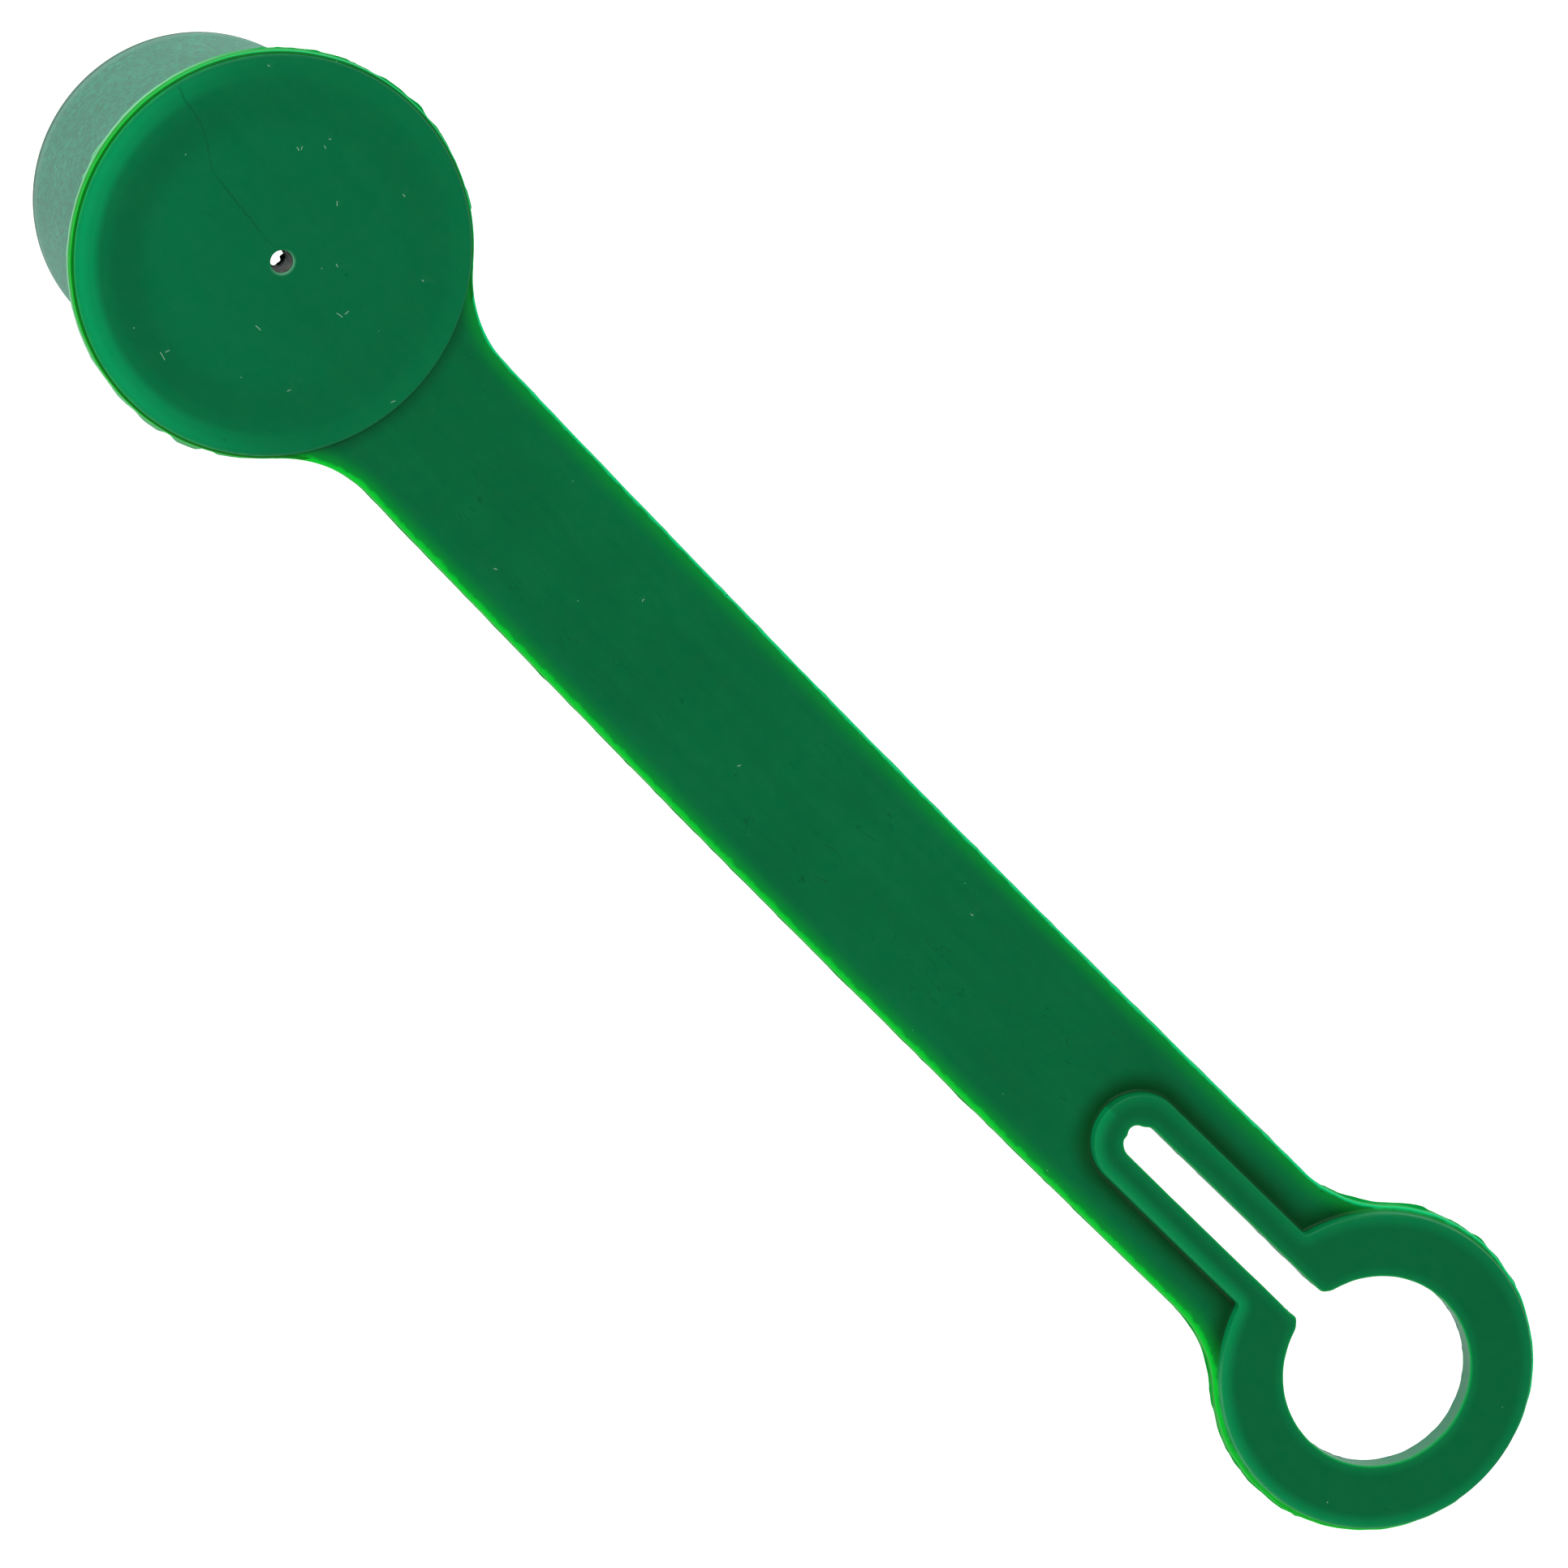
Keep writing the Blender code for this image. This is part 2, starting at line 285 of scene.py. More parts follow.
def top_height(P):
    r = np.hypot(P[:, 0], P[:, 1])
    d_rim = np.where(inside(P, rim), 1, -1) * to_line(P, rim)
    d_out, d_key = to_line(P, outer), to_line(P, keyhole)
    rv = np.hypot(P[:, 0] - VENT[0], P[:, 1] - VENT[1]) - VENT_R
    z = TOP + boss_height(BOSS_R - r) + rim_height(d_rim)
    z -= round_off(np.minimum(d_out, d_key)) + round_off(rv, 0.10)
    z -= 0.035 * np.exp(-((rv - 0.42) / 0.16) ** 2)          # faint witness of the pin
    return z


# ------------------------------------------------------------- plan triangles
class Plan:
    def __init__(self):
        self.p, self.e = [], []

    def add(self, P, closed=None):
        i0 = len(self.p)
        self.p += [Vector((float(x), float(y))) for x, y in P]
        n = len(P)
        if closed is not None:
            self.e += [(i0 + i, i0 + i + 1) for i in range(n - 1)]
            if closed:
                self.e.append((i0 + n - 1, i0))
        return np.arange(i0, i0 + n)

    def run(self, keep):
        v, _, f, ov, _, _ = delaunay_2d_cdt(self.p, self.e, [], 0, 1e-5)
        where = {}
        for out, srcs in enumerate(ov):
            for s in srcs:
                where[s] = out
        P = np.array([tuple(a) for a in v])
        T = np.array([t for t in f if len(t) == 3])
        a, b, c = P[T[:, 0]], P[T[:, 1]], P[T[:, 2]]
        area = (b[:, 0] - a[:, 0]) * (c[:, 1] - a[:, 1]) - (b[:, 1] - a[:, 1]) * (c[:, 0] - a[:, 0])
        T[area < 0] = T[area < 0][:, ::-1]
        T = T[np.abs(area) > 1e-9]
        T = T[keep((P[T[:, 0]] + P[T[:, 1]] + P[T[:, 2]]) / 3)]
        return P, T, where


def in_plate(P):
    return inside(P, outer) & ~inside(P, keyhole)


N_TURN = 256
N_VENT = 64
vent_loop = circle(*VENT, VENT_R, N_VENT)
root_loop = circle(0, 0, 16.2, N_TURN)
cross_y = np.array([-6.9, -5.2, -3.5, -1.75, 0, 1.75, 3.5, 5.2, 6.9])

top = Plan()
i_out = top.add(outer, True)
i_key = top.add(keyhole, True)
i_vent = top.add(vent_loop, True)
for d in (0.02, 0.075, EDGE_R, 0.22):
    top.add(outer - out_n * d, True)
    top.add(keyhole + key_n * d, True)
for r in (0.03, 0.10, 0.30, 0.42, 0.60):
    top.add(circle(*VENT, VENT_R + r, N_VENT), True)
for d in (-0.12, 0.0, 0.04, 0.08, 0.14, 0.24, 0.5):
    top.add(circle(0, 0, BOSS_R - d, 288), True)
for r in (16.3, 15.0, 13.4, 12.0, 10.4, 8.8, 7.2, 5.6, 4.2, 3.0):
    top.add(circle(0, 0, r, max(24, int(r * 9)), r))
for d in (0.0, 0.05, 0.09, 0.16, 0.30, 0.5):
    top.add(rim - rim_n * d, True)
far_rim = (rim[:, 0] > RING_X) & (np.abs(rim[:, 1]) < 3.9)
cut0 = np.nonzero(far_rim)[0]
for d in (0.10, 0.28):
    # Open at the clipped gate, where the edge comes close to the rim.
    P = rim + rim_n * d
    top.add(np.vstack([P[cut0[-1] + 1:], P[:cut0[0]]]), False)
for d in (0.75, 1.3):
    top.add((rim + rim_n * d)[(rim[:, 0] < rx - 2.0)])
for r in (9.3, 10.2, 11.2, 12.2, 13.1):
    P = circle(RING_X, 0, r, int(r * 9), r)
    top.add(P[~((P[:, 0] < RING_X) & (np.abs(P[:, 1]) < SLOT_HALF + 0.6))])
for x in stations:
    half = HALF
    if x < RIM_END - RIM_HALF - 0.4:
        top.add(np.vstack([[(x, -half)], np.c_[np.full(9, x), cross_y], [(x, half)]]), False)
    else:
        top.add([(x, y) for y in (-6.9, -5.9, 5.9, 6.9)])
soft = (outer[:, 0] > 20) & (outer[:, 0] < FLARE_X + 5)
for d in (0.45, 0.9):
    top.add((outer - out_n * d)[soft])
top.add(weld, False)
for d in (0.05, 0.16):
    top.add(weld + weld_side * d, False)
    top.add(weld - weld_side * d, False)
marks = []
for x, y, a, ln in scratches + strap_marks:
    u = np.array([math.cos(math.radians(a)), math.sin(math.radians(a))])
    v = np.array([-u[1], u[0]])
    c = np.array([x, y])
    ends = np.array([c - u * ln / 2, c - u * ln * 0.1 + v * 0.02, c + u * ln / 2])
    marks.append(ends)
    top.add(ends, False)
    w = 0.036
    top.add([ends[0] - u * w, ends[0] + v * w, ends[1] + v * w, ends[2] + v * w, ends[2] + u * w,
             ends[2] - v * w, ends[1] - v * w, ends[0] - v * w], True)
P_top, T_top, w_top = top.run(
    lambda C: in_plate(C) & (np.hypot(C[:, 0] - VENT[0], C[:, 1] - VENT[1]) > VENT_R * 0.999))

under = Plan()
j_out = under.add(outer, True)
j_key = under.add(keyhole, True)
j_root = under.add(root_loop, True)
for d in (0.06, 0.20):
    under.add(outer - out_n * d, True)
    under.add(keyhole + key_n * d, True)
for x in stations:
    if x < SLOT_END - SLOT_HALF - 0.4:
        under.add(np.vstack([[(x, -HALF)], np.c_[np.full(9, x), cross_y], [(x, HALF)]]), False)
    else:
        under.add([(x, y) for y in (-6.9, -5.2, -3.5, 3.5, 5.2, 6.9)])
for r in (9.3, 10.4, 11.6, 12.8, 13.9):
    P = circle(RING_X, 0, r, int(r * 7), r)
    under.add(P[~((P[:, 0] < RING_X) & (np.abs(P[:, 1]) < SLOT_HALF + 0.6))])
P_und, T_und, w_und = under.run(
    lambda C: in_plate(C) & (np.hypot(C[:, 0], C[:, 1]) > 16.2 * 0.9999))

ceil = Plan()
CEIL_R = 10.4
CEIL_Z = cap_hi[2] - 3.9
k_rim = ceil.add(circle(0, 0, CEIL_R, N_TURN), True)
k_vent = ceil.add(vent_loop, True)
for r in (9.6, 8.4, 7.0, 5.6, 4.2, 3.0):
    ceil.add(circle(0, 0, r, max(30, int(r * 9)), r))
ceil.add(circle(*VENT, VENT_R + 0.25, N_VENT), True)
P_cei, T_cei, w_cei = ceil.run(
    lambda C: (np.hypot(C[:, 0], C[:, 1]) < CEIL_R) & (np.hypot(C[:, 0] - VENT[0], C[:, 1] - VENT[1]) > VENT_R * 0.999))

# -------------------------------------------------------------- one closed skin
verts, faces, kinds = [], [], []
FACE, WALL, HOLE, SKIRT, BORE, PIN = range(6)


def push(P, z):
    i0 = len(verts)
    z = np.broadcast_to(z, (len(P),))
    verts.extend((float(a), float(b), float(c)) for (a, b), c in zip(P, z))
    return np.arange(i0, i0 + len(P))


def strip(A, B, kind, flip=False):
    """Quads between two closed rings of equal length."""
    n = len(A)
    for i in range(n):
        k = (i + 1) % n
        q = (A[i], A[k], B[k], B[i])
        faces.append(q[::-1] if flip else q)
        kinds.append(kind)


g_top = push(P_top, top_height(P_top))
for t in T_top:
    faces.append(tuple(g_top[t]))
    kinds.append(FACE)
d_u = np.minimum(to_line(P_und, outer), to_line(P_und, keyhole))
g_und = push(P_und, BOTTOM + round_off(d_u, 0.06))
for t in T_und:
    faces.append(tuple(g_und[t[::-1]]))
    kinds.append(FACE)
g_cei = push(P_cei, CEIL_Z)
for t in T_cei:
    faces.append(tuple(g_cei[t[::-1]]))
    kinds.append(BORE)

# Side wall of the plate, with the flash low on it.
ring_top = g_top[[w_top[i] for i in i_out]]
ring_bot = g_und[[w_und[j] for j in j_out]]
rows = [ring_top,
        push(outer, TOP - 0.40), push(outer, BOTTOM + 0.42), push(outer + out_n * 0.01, BOTTOM + 0.20),
        push(outer + out_n * 0.02, BOTTOM + 0.155), push(outer + out_n * (flash * 0.55)[:, None], BOTTOM + 0.135),
        push(outer + out_n * flash[:, None], BOTTOM + 0.11),
        push(outer + out_n * (flash * 0.6)[:, None], BOTTOM + 0.085), ring_bot]
for a, b in zip(rows, rows[1:]):
    strip(a, b, WALL, flip=True)

# Wall of the keyhole.
key_z = [np.array(verts)[g_top[[w_top[i] for i in i_key]], 2]]
rows = [g_top[[w_top[i] for i in i_key]],
        push(keyhole, TOP + RIM_H - 0.55), push(keyhole, TOP - 0.1), push(keyhole, BOTTOM + 0.40),
        push(keyhole - key_n * 0.01, BOTTOM + 0.17), push(keyhole - key_n * key_flash[:, None], BOTTOM + 0.11),
        g_und[[w_und[j] for j in j_key]]]
for a, b in zip(rows, rows[1:]):
    strip(a, b, HOLE, flip=True)

# Skirt, mouth and bore, turned.
z_root = BOTTOM
skirt_out = [(15.75, z_root - 0.06), (15.3, z_root - 0.28), (15.02, z_root - 0.62), (14.90, z_root - 1.1)]
for z in np.linspace(z_root - 2.6, 1.4, 26):
    skirt_out.append((14.45 + (14.90 - 14.45) * (z - 0.5) / (z_root - 1.6), z))
skirt_out += [(14.45, 0.62), (14.42, 0.30), (14.33, 0.13), (14.18, 0.035), (13.95, 0.0)]
mouth = [(13.3, 0.0), (12.6, 0.0), (12.12, 0.02), (11.93, 0.14), (11.72, 0.55), (11.58, 1.0), (11.50, 1.6)]
bore = [(11.50 - 0.10 * (z - 1.6) / 25.6, z) for z in np.linspace(3.2, CEIL_Z - 1.0, 16)]
bore += [(11.34, CEIL_Z - 0.62), (11.15, CEIL_Z - 0.28), (10.82, CEIL_Z - 0.07)]
rings = [g_und[[w_und[j] for j in j_root]]]
for r, z in skirt_out + mouth + bore:
    rings.append(push(circle(0, 0, r, N_TURN), z))
rings.append(g_cei[[w_cei[j] for j in k_rim]])
for i, (a, b) in enumerate(zip(rings, rings[1:])):
    kind = SKIRT if i < len(skirt_out) + 1 else BORE
    strip(a, b, kind, flip=True)

# The vent's wall, ragged where its pin left flash at the inner end.
va = np.arange(N_VENT)
rag = 0.04 + 0.30 * np.maximum(0, smooth_noise(N_VENT, 11, 12)) + 0.10 * np.maximum(0, smooth_noise(N_VENT, 29, 13))
vent_n = (vent_loop - VENT) / VENT_R
rows = [g_top[[w_top[i] for i in i_vent]]]
for z in (cap_hi[2] - 0.5, cap_hi[2] - 1.4, cap_hi[2] - 2.5, CEIL_Z + 0.35):
    rows.append(push(vent_loop, z))
rows.append(push(vent_loop - vent_n * rag[:, None], CEIL_Z + 0.16))
rows.append(g_cei[[w_cei[j] for j in k_vent]])
for a, b in zip(rows, rows[1:]):
    strip(a, b, PIN, flip=True)

V = np.array(verts)
kinds = np.array(kinds)

# ------------------------------------------------------------ vertex attributes
XY = V[:, :2]
radius = np.hypot(XY[:, 0], XY[:, 1])
d_outer = to_line(XY, outer)
d_keyhole = to_line(XY, keyhole)
d_rim = np.where(inside(XY, rim), 1, -1) * to_line(XY, rim)
d_weld = to_line(XY, weld, closed=False)
d_mark = np.min([to_line(XY, m, closed=False) for m in marks], axis=0)
# lit: how far the nearest outer edge faces one fixed side, the lit side that the painted glow favours.
lit = np.empty(len(XY))
toward = out_n @ np.array([-0.35, -0.94])
for i in range(0, len(XY), 2000):
    lit[i:i + 2000] = toward[((XY[i:i + 2000, None] - outer[None]) ** 2).sum(2).argmin(1)]
on_top = V[:, 2] > TOP - 0.5

ATTR = {
    "d_outer": np.where(V[:, 2] > BOTTOM - 0.01, d_outer, 9.0),
    "d_keyhole": np.where(V[:, 2] > BOTTOM - 0.01, d_keyhole, 9.0),
    "d_rim": d_rim,
    "radial": radius,
    # turn: how far each point faces the lit side round the cap, for painted glow and a painted highlight.
    "turn": np.cos(np.arctan2(XY[:, 1], XY[:, 0]) - math.radians(232.0)),
    "weld": np.where(on_top, np.clip(1 - d_weld / 0.11, 0, 1), 0.0),
    "mark": np.where(on_top, np.clip(1 - d_mark / 0.036, 0, 1), 0.0),
    "lit": lit,
    # painted glint round the vent's chamfer, strongest on its lower-right side
    "vent_glint": (np.exp(-((np.hypot(XY[:, 0] - VENT[0], XY[:, 1] - VENT[1]) - VENT_R - 0.05) / 0.055) ** 2)
                 * np.clip(0.45 + 0.75 * np.cos(np.arctan2(XY[:, 1] - VENT[1], XY[:, 0] - VENT[0])), 0, 1) * on_top),
    "depth": V[:, 2],
}

# ------------------------------------------------------ the strap's slight bow
# The strap lies a little bowed sideways, as thin plastic does; the cap and the
# ring turn with its ends.
BOW = 0.917
X1, X2 = 18.0, RING_X - 18.0
slope0 = -BOW / (X1 + (X2 - X1) / 4)


def bow(W):
    x, y = W[:, 0], W[:, 1]
    t = np.clip((x - X1) / (X2 - X1), 0, 1)
    slope = slope0 * (1 - 2 * t)
    y0 = slope0 * np.minimum(x, X1)
    y0 = y0 + slope0 * (X2 - X1) * (t - t * t)
    y0 = y0 - slope0 * np.maximum(x - X2, 0)
    c = 1 / np.sqrt(1 + slope ** 2)
    out = W.copy()
    # Near each end the piece turns as one about its own centre.
    out[:, 0] = x - y * slope * c
    out[:, 1] = y0 + y * c
    return out


rest = V.copy()
V = bow(V)

# ----------------------------------------------------------- cut into its pieces
F_n = np.array([len(f) for f in faces])
cx = np.array([np.mean([rest[i, 0] for i in f]) for f in faces])
band = np.searchsorted(np.array(SEAMS), cx)
band[kinds >= SKIRT] = 0
names = ["cap_moulding"] + ["strap_moulding_%d" % i for i in range(1, len(SEAMS))] + ["ring_moulding"]
pieces, piece_kinds = [], []
for k, name in enumerate(names):
    idx = np.nonzero(band == k)[0]
    used = np.unique(np.concatenate([faces[i] for i in idx]))
    new = -np.ones(len(V), int)
    new[used] = np.arange(len(used))
    me = bpy.data.meshes.new(name)
    co = (V[used] + [CAP_X, 0, 0]) * MM
    me.from_pydata(co.tolist(), [], [[int(new[j]) for j in faces[i]] for i in idx])
    used_kinds = sorted(set(kinds[idx]))
    me.polygons.foreach_set("material_index", np.array([used_kinds.index(q) for q in kinds[idx]], np.int32))
    for key, val in ATTR.items():
        at = me.attributes.new(key, "FLOAT", "POINT")
        at.data.foreach_set("value", val[used].astype(np.float32))
    at = me.attributes.new("rest", "FLOAT_VECTOR", "POINT")
    at.data.foreach_set("vector", rest[used].astype(np.float32).ravel())
    bm = bmesh.new()
    bm.from_mesh(me)
    # Close the cut ends, which meet inside the strap.
    edges = [e for e in bm.edges if e.is_boundary]
    if edges:
        bmesh.ops.holes_fill(bm, edges=edges, sides=0)
    open_edges = sum(1 for e in bm.edges if not e.is_manifold)
    bmesh.ops.recalc_face_normals(bm, faces=bm.faces)
    bm.to_mesh(me)
    bm.free()
    me.update()
    print(name, len(me.polygons), "faces, edges not closed:", open_edges)
    for p in me.polygons:
        p.use_smooth = True
    me.set_sharp_from_angle(angle=math.radians(44))
    ob = bpy.data.objects.new(name, me)
    bpy.context.scene.collection.objects.link(ob)
    wn = ob.modifiers.new("face_weighted", "WEIGHTED_NORMAL")
    wn.mode = "FACE_AREA"
    wn.weight = 60
    wn.keep_sharp = True
    pieces.append(ob)
    piece_kinds.append(used_kinds)
print("moulding:", len(V), "points,", len(faces), "faces")


# -------------------------------------------------------------------- materials
class Tree:
    """Small helper for building node trees."""

    def __init__(self, name):
        self.mat = bpy.data.materials.new(name)
        self.mat.use_nodes = True
        self.nt = self.mat.node_tree
        self.bsdf = self.nt.nodes["Principled BSDF"]
        self.x = -300

    def node(self, kind, **props):
        n = self.nt.nodes.new(kind)
        self.x -= 30
        n.location = (self.x, 0)
        for k, v in props.items():
            setattr(n, k, v)
        return n

    def link(self, a, b):
        self.nt.links.new(a, b)

    def attr(self, name, vector=False):
        n = self.node("ShaderNodeAttribute", attribute_name=name)
        return n.outputs["Vector" if vector else "Fac"]

    def math(self, op, a, b=None, clamp=False):
        n = self.node("ShaderNodeMath", operation=op, use_clamp=clamp)
        for i, v in enumerate((a, b)):
            if v is None:
                continue
            if isinstance(v, (int, float)):
                n.inputs[i].default_value = v
            else:
                self.link(v, n.inputs[i])
        return n.outputs[0]

    def ramp(self, v, stops, interpolation="LINEAR"):
        n = self.node("ShaderNodeValToRGB")
        cr = n.color_ramp
        cr.interpolation = interpolation
        while len(cr.elements) < len(stops):
            cr.elements.new(0.5)
        for e, (p, c) in zip(cr.elements, stops):
            e.position = p
            e.color = (c, c, c, 1) if isinstance(c, (int, float)) else (*c, 1)
        self.link(v, n.inputs[0])
        return n.outputs[0]

    def span(self, v, a, b, c=0.0, d=1.0, smooth=False):
        n = self.node("ShaderNodeMapRange", clamp=True,
                      interpolation_type="SMOOTHSTEP" if smooth else "LINEAR")
        self.link(v, n.inputs[0])
        for i, x in enumerate((a, b, c, d), 1):
            n.inputs[i].default_value = x
        return n.outputs[0]

    def mix(self, f, a, b, how="MIX"):
        n = self.node("ShaderNodeMix", data_type="RGBA", blend_type=how, clamp_factor=True)
        if isinstance(f, (int, float)):
            n.inputs[0].default_value = f
        else:
            self.link(f, n.inputs[0])
        for s, v in ((6, a), (7, b)):
            if isinstance(v, tuple):
                n.inputs[s].default_value = (*v, 1)
            else:
                self.link(v, n.inputs[s])
        return n.outputs[2]

    def noise(self, vec, scale, detail=3.0, rough=0.55, distortion=0.0):
        n = self.node("ShaderNodeTexNoise")
        self.link(vec, n.inputs["Vector"])
        n.inputs["Scale"].default_value = scale
        n.inputs["Detail"].default_value = detail
        n.inputs["Roughness"].default_value = rough
        n.inputs["Distortion"].default_value = distortion
        return n.outputs[0]

    def stretch(self, vec, s):
        n = self.node("ShaderNodeVectorMath", operation="MULTIPLY")
        self.link(vec, n.inputs[0])
        n.inputs[1].default_value = s
        return n.outputs[0]

    def bump(self, height, strength, distance, normal=None):
        n = self.node("ShaderNodeBump")
        n.inputs["Strength"].default_value = strength
        n.inputs["Distance"].default_value = distance
        self.link(height, n.inputs["Height"])
        if normal is not None:
            self.link(normal, n.inputs["Normal"])
        return n.outputs[0]


def srgb(h):
    c = [int(h[i:i + 2], 16) / 255 for i in (0, 2, 4)]
    return tuple(x / 12.92 if x <= 0.04045 else ((x + 0.055) / 1.055) ** 2.4 for x in c)


def scaled(c, k):
    return tuple(x * k for x in c)


def face_material():
    """The satin upper and under faces: deep green, with painted glow at thin edges and painted light and shade across
    the disc and round raised parts.
    """
    t = Tree("green_face")
    deep = srgb("006638")
    rest_v = t.attr("rest", True)
    d_out, d_key, d_r = t.attr("d_outer"), t.attr("d_keyhole"), t.attr("d_rim")
    radial, turn, lit, depth = t.attr("radial"), t.attr("turn"), t.attr("lit"), t.attr("depth")
    upper = t.math("GREATER_THAN", depth, TOP - 0.6)
    # Cloudiness of the pigment, and streaks along the flow.
    cloud = t.noise(rest_v, 0.10, 3.0, 0.5)
    fine_n = t.noise(rest_v, 1.6, 4.0, 0.6)
    flow = t.noise(t.stretch(rest_v, (0.05, 0.50, 0.3)), 1.0, 4.0, 0.6, 0.8)
    col = t.mix(t.span(cloud, 0.35, 0.65), scaled(deep, 0.94), scaled(deep, 1.05))
    col = t.mix(t.math("MULTIPLY", t.span(flow, 0.45, 0.68), 0.30), col, scaled(deep, 1.22))
    col = t.mix(t.math("MULTIPLY", t.span(flow, 0.44, 0.28), 0.30), col, scaled(deep, 0.82))
    col = t.mix(t.math("MULTIPLY", t.span(fine_n, 0.3, 0.7), 0.16), col, scaled(deep, 0.78))
    # The ring is a shade deeper, the disc a shade bluer.
    in_ring = t.math("GREATER_THAN", d_r, 0.0)
    col = t.mix(t.math("MULTIPLY", in_ring, 0.50), col, srgb("005E32"))
    on_disc = t.math("LESS_THAN", radial, BOSS_R + 0.02)
    col = t.mix(t.math("MULTIPLY", on_disc, 0.45), col, srgb("00683F"))
    # Painted light and shade from light passing through the disc: over the bore the disc is thin and painted lighter;
    # over its wall it is painted darker as shade, and past the wall a painted glow stands for the light coming through
    # its rim again, strongest on one side.
    side = t.math("POWER", t.span(turn, -0.35, 1.0, 0.0, 1.0, True), 1.5)
    inner = t.ramp(t.span(radial, 6.0, 16.0), [(0.0, 0.30), (0.20, 0.42), (0.38, 0.42), (0.70, 0.0), (1.0, 0.0)], "EASE")
    col = t.mix(t.math("MULTIPLY", t.math("MULTIPLY", inner, on_disc), t.span(turn, -0.6, 1.0, 0.15, 0.75)), col,
                srgb("007446"))
    # Painted shade: the darker ring over the bore's wall.
    wall = t.ramp(t.span(radial, 11.0, 15.0), [(0.0, 0.0), (0.45, 1.0), (0.62, 0.9), (1.0, 0.0)], "EASE")
    col = t.mix(t.math("MULTIPLY", t.math("MULTIPLY", wall, on_disc), t.span(side, 0, 1, 0.04, 0.20)), col,
                srgb("00522E"))
    # Painted glow round the disc's rim.
    glow = t.ramp(t.span(radial, 14.2, 17.7), [(0.0, 0.0), (0.30, 0.10), (0.60, 0.70), (0.85, 0.98), (1.0, 0.72)], "EASE")
    col = t.mix(t.math("MULTIPLY", t.math("MULTIPLY", glow, on_disc), t.span(side, 0.0, 1.0, 0.10, 0.93)), col,
                srgb("009C5C"))
    # Painted shade: the ledge at the boss's foot is painted dark, and the low ground beside it gets a painted shadow.
    ledge = t.math("MULTIPLY", t.math("GREATER_THAN", radial, BOSS_R - 0.03), t.span(d_out, 0.50, 0.30, 0, 1))
    ledge = t.math("MULTIPLY", ledge, t.math("LESS_THAN", radial, FLANGE_R + 0.4))
    foot = t.math("MULTIPLY", t.span(radial, BOSS_R + 1.5, BOSS_R + 0.05, 0, 1, True),
                  t.math("GREATER_THAN", radial, BOSS_R + 0.01))
    col = t.mix(t.math("MULTIPLY", foot, 0.50), col, srgb("004626"))
    # Painted shade: a dark halo on the lower face round the raised rim.
    halo = t.math("MULTIPLY", t.span(d_r, -2.7, -0.05, 0, 1, True), t.math("LESS_THAN", d_r, 0.02))
    halo = t.math("MULTIPLY", t.math("POWER", halo, 1.4), t.span(d_out, 0.25, 0.8, 0.15, 1.0))
    col = t.mix(t.math("MULTIPLY", t.math("MULTIPLY", halo, upper), 0.80), col, srgb("003A0C"))
    # Painted glow: the raised rim is painted lighter towards its edges, more on the lit side, and the face beside the
    # keyhole too.
    lip = t.math("MULTIPLY", t.span(d_r, 1.5, 0.1, 0, 1, True), in_ring)
    lip = t.math("MULTIPLY", lip, t.span(lit, -1.0, 1.0, 0.35, 0.85))
    col = t.mix(lip, col, srgb("008E50"))
    lip = t.math("MULTIPLY", t.span(d_key, 1.1, 0.1, 0, 1, True), 0.40)
    col = t.mix(lip, col, srgb("008848"))
    # Painted glow: thin edges are painted as a saturated line of light let out through them, brightest on one side,
    # with a broader painted glow along the strap's edges.
    wob = t.span(t.noise(rest_v, 0.9, 3.0, 0.6), 0.3, 0.7, 0.70, 1.25)
    far = t.span(lit, -0.9, 0.9, 0.50, 1.0)
    broad = t.math("MULTIPLY", t.span(d_out, 3.0, 0.15, 0, 1, True), t.math("SUBTRACT", 1.0, on_disc))
    broad = t.math("MULTIPLY", broad, t.math("SUBTRACT", 1.0, in_ring))
    broad = t.math("MULTIPLY", t.math("POWER", broad, 3.2), t.span(lit, -0.9, 0.9, 0.60, 0.85))
    col = t.mix(broad, col, srgb("00962A"))
    edge = t.span(t.math("DIVIDE", t.math("DIVIDE", d_out, wob), far), 0.60, 0.22, 0, 1, True)
    edge = t.math("MULTIPLY", edge, t.math("SUBTRACT", 1.0, t.math("MULTIPLY", on_disc, 0.75)))
    edge = t.math("MULTIPLY", edge, t.math("SUBTRACT", 1.0, t.math("MULTIPLY", in_ring, 0.85)))
    tint = t.mix(t.span(lit, 0.5, -0.7), srgb("00CC30"), srgb("04CE7A"))
    col = t.mix(t.math("MULTIPLY", edge, 0.92), col, tint)
    # Painted shade: a thin dark line along the ledge at the boss's foot.
    rimline = t.math("MULTIPLY", ledge, t.span(d_out, 0.03, 0.10, 0, 1, True))
    col = t.mix(t.math("MULTIPLY", rimline, 0.80), col, srgb("00640C"))
    # Painted glow along the keyhole's edge.
    kedge = t.math("MULTIPLY", t.span(d_key, 0.26, 0.02, 0, 1, True), 0.70)
    col = t.mix(kedge, col, srgb("00A84A"))
